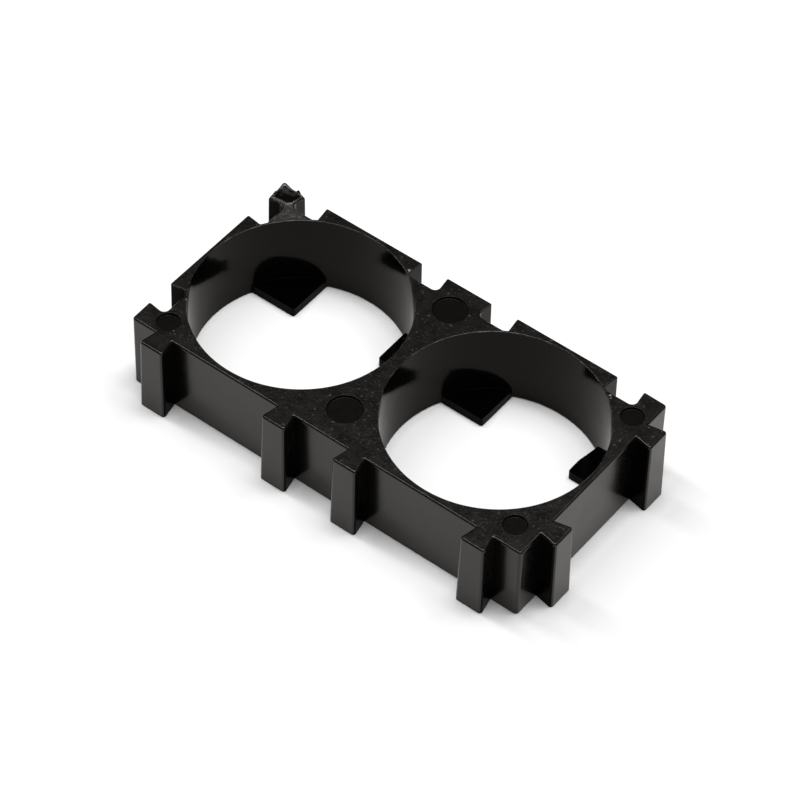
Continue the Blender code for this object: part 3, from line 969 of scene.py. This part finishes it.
def torn_plastic(finish):
    """Torn plastic: smooth where it sheared, with fine crumples and a few pale points."""
    torn = Plastic("torn_plastic", finish, finish.torn_roughness, finish.torn_gloss)
    folds = torn.noise(size=0.3 * MM, detail=4, roughness=0.65)
    # The pale points take the colour of the grain's painted glints
    torn.paint(torn.mix(torn.ramp(folds, low=0.72, high=0.8), finish.plastic, finish.painted_glint))
    torn.bump(folds, finish.torn_depth)
    return torn.owner


class CELLBRACKET_OT_moulding(bpy.types.Operator):
    """Build the bracket's moulding and give it its finishes"""
    bl_idname = "cellbracket.moulding"
    bl_label = "Moulding"

    def execute(self, context):
        shape, finish = context.scene.bracket_shape, context.scene.bracket_finish
        piece = bpy.data.objects.new("moulding", bracket_mesh(shape))
        context.scene.collection.objects.link(piece)
        for build in (grained_top, polished_side, drawn_wall, matt_flank, ejector_mark,
                      rounded_edge, rubbed_edge, torn_plastic):
            piece.data.materials.append(build(finish))
        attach(piece, "root")
        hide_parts(NODE)
        return {"FINISHED"}


class CELLBRACKET_OT_stage(bpy.types.Operator):
    """Set up the floor, the lamps and the camera"""
    bl_idname = "cellbracket.stage"
    bl_label = "Stage"

    def execute(self, context):
        studio = context.scene.bracket_studio
        add_floor(context, studio)
        add_lamps(context, studio)
        add_camera(context, studio)
        context.scene.view_settings.view_transform = "Standard"
        return {"FINISHED"}


def add_floor(context, studio):
    """Large pale floor that shows white to the camera and keeps the shadow."""
    mesh = bpy.data.meshes.new("studio_floor")
    corners = FLOOR_HALF * np.array(((-1, -1, 0), (1, -1, 0), (1, 1, 0), (-1, 1, 0)))
    mesh.from_pydata(corners.tolist(), [], [(0, 1, 2, 3)])
    floor = bpy.data.objects.new("studio_floor", mesh)
    context.scene.collection.objects.link(floor)
    nodes = Nodes(bpy.data.materials.new("studio_floor"))
    path = nodes.add("ShaderNodeLightPath").outputs
    glossy = nodes.math("MULTIPLY", path["Is Glossy Ray"], studio.glossy_share)
    seen = nodes.math("MAXIMUM", glossy, path["Is Camera Ray"])
    shown = np.array(studio.floor) * studio.floor_boost
    mirrored = nodes.mix(path["Is Glossy Ray"], shown, shown * studio.mirror_tint)
    diffuse = nodes.add("ShaderNodeBsdfDiffuse",
                        {"Color": nodes.mix(seen, studio.floor, mirrored)})
    place = nodes.add("ShaderNodeTexCoord").outputs["Object"]
    far = nodes.ramp(nodes.distance(place, (0, 0, 0)), *FLOOR_FADE)
    white = nodes.add("ShaderNodeEmission", {"Strength": nodes.math("MULTIPLY", far, seen)})
    both = nodes.add("ShaderNodeAddShader",
                     {0: diffuse.outputs["BSDF"], 1: white.outputs["Emission"]})
    nodes.add("ShaderNodeOutputMaterial", {"Surface": both.outputs["Shader"]})
    mesh.materials.append(nodes.owner)


def add_lamps(context, studio):
    """Soft lamps at the left, at the back and overhead, and a dim world.

    The world shows white to the camera.
    """
    world = Nodes(bpy.data.worlds.new("studio_world"))
    camera_ray = world.add("ShaderNodeLightPath").outputs["Is Camera Ray"]
    background = world.add("ShaderNodeBackground", {
        "Color": (1, 1, 1), "Strength": world.ramp(camera_ray, 0, 1, start=studio.ambient)})
    world.add("ShaderNodeOutputWorld", {"Surface": background.outputs["Background"]})
    context.scene.world = world.owner
    for name, place, width, depth, watts in LAMPS:
        lamp = bpy.data.lights.new(name, "AREA")
        lamp.shape = "RECTANGLE"
        lamp.energy = watts
        lamp.size, lamp.size_y = width, depth
        item = bpy.data.objects.new(name, lamp)
        context.scene.collection.objects.link(item)
        item.location = place


def add_camera(context, studio):
    """Camera on a sphere round its target, turned about its own line of sight by the roll."""
    lens = bpy.data.cameras.new("studio_camera")
    lens.sensor_width = SENSOR_WIDTH_MM
    lens.lens = studio.lens / MM
    lens.clip_start, lens.clip_end = CLIP_START, CLIP_END
    camera = bpy.data.objects.new("studio_camera", lens)
    context.scene.collection.objects.link(camera)
    azimuth, elevation, roll = studio.azimuth, studio.elevation, studio.roll
    back = np.array((sin(azimuth) * cos(elevation), -cos(azimuth) * cos(elevation),
                     sin(elevation)))
    level_right = np.array((cos(azimuth), sin(azimuth), 0))
    level_up = np.cross(back, level_right)
    right = cos(roll) * level_right + sin(roll) * level_up
    up = cos(roll) * level_up - sin(roll) * level_right
    place = np.array((studio.target_x, studio.target_y, 0)) + back * studio.distance
    matrix = np.identity(4)
    matrix[:3] = np.column_stack((right, up, back, place))
    camera.matrix_world = Matrix(matrix.tolist())
    context.scene.camera = camera


class CELLBRACKET_PT_panel(bpy.types.Panel):
    """Sizes, finishes and studio of the cell bracket"""
    bl_idname = "CELLBRACKET_PT_panel"
    bl_label = "Cell bracket"
    bl_space_type = "VIEW_3D"
    bl_region_type = "UI"
    bl_category = "Bracket"

    def draw(self, context):
        for operator in OPERATORS:
            self.layout.operator(operator.bl_idname)
        for name in GROUPS:
            group = getattr(context.scene, name)
            box = self.layout.box()
            for setting in group.__annotations__:
                box.prop(group, setting)


GROUPS = {"bracket_shape": BracketShape, "bracket_finish": BracketFinish,
          "bracket_studio": BracketStudio}
OPERATORS = (CELLBRACKET_OT_moulding, CELLBRACKET_OT_stage)
CLASSES = (*GROUPS.values(), *OPERATORS, CELLBRACKET_PT_panel)


def register():
    """Registers the classes and puts the settings on the scene."""
    for item in CLASSES:
        bpy.utils.register_class(item)
    for name, group in GROUPS.items():
        setattr(bpy.types.Scene, name, PointerProperty(type=group))


def unregister():
    """Takes the settings off the scene and unregisters the classes."""
    for name in GROUPS:
        delattr(bpy.types.Scene, name)
    for item in reversed(CLASSES):
        bpy.utils.unregister_class(item)


def main():
    """Builds everything."""
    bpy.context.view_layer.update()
    register()
    bpy.ops.cellbracket.moulding()
    bpy.ops.cellbracket.stage()
    bpy.context.view_layer.update()


if __name__ == "__main__":
    main()
